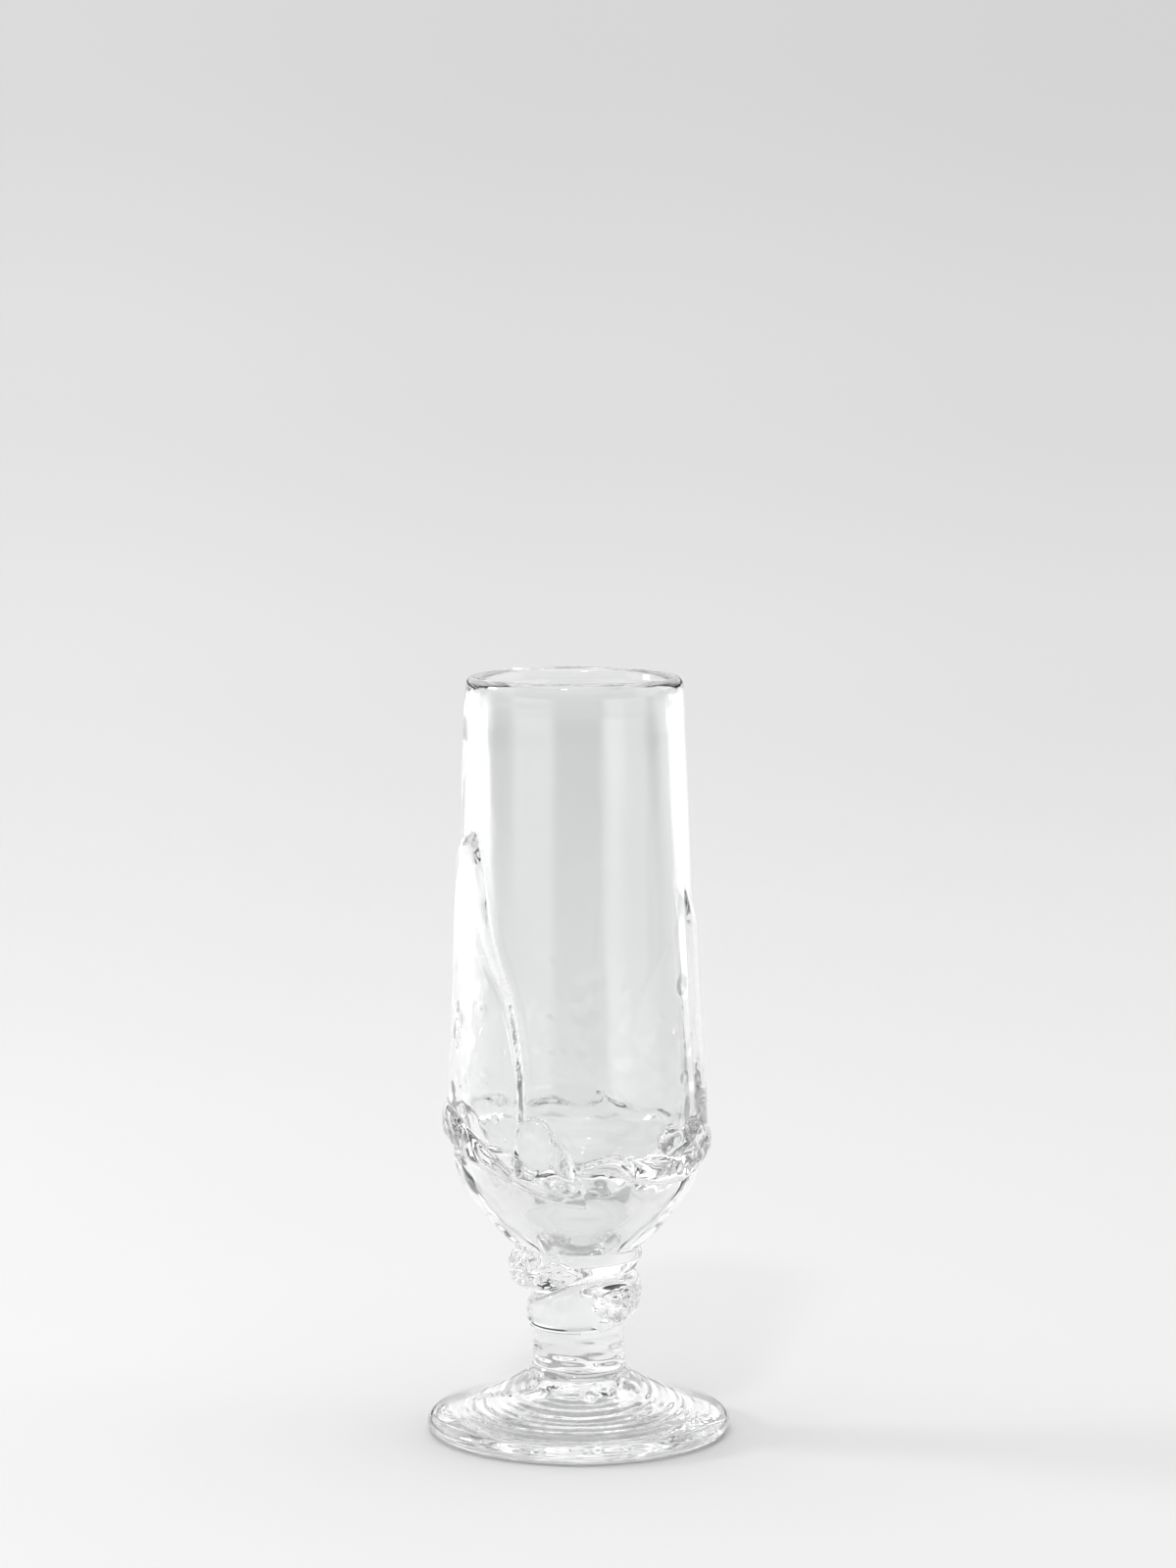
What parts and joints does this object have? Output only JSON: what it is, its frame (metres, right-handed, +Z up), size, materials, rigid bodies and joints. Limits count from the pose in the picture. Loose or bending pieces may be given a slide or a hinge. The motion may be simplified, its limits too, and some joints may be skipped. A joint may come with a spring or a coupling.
{
  "type": "goblet",
  "caption": "Tall hand-blown clear-glass goblet with pointed leaf trails on a slim cup, a wound trail on a short solid stem and a conical round foot.",
  "frame": {"origin": "centre of the foot's resting ring, on the surface that the goblet stands on", "axes": "+Z up along the goblet's axis, -Y towards the front seen in the picture, +X to its right"},
  "size_m": [0.072, 0.072, 0.18],
  "materials": {
    "bowl_glass": "clear, fire-polished, faintly wavy",
    "stem_glass": "clear, fire-polished, solid",
    "trail_glass": "clear, hot-worked, rounded"
  },
  "bodies": {
    "root": {"foot": "stem_glass", "stem": "stem_glass", "stem_trail": "trail_glass", "bowl": "bowl_glass", "bowl_trail": "trail_glass", "left_leaf": "trail_glass", "right_leaf": "trail_glass", "front_prunt": "trail_glass", "right_prunt": "trail_glass"}
  },
  "joints": []
}
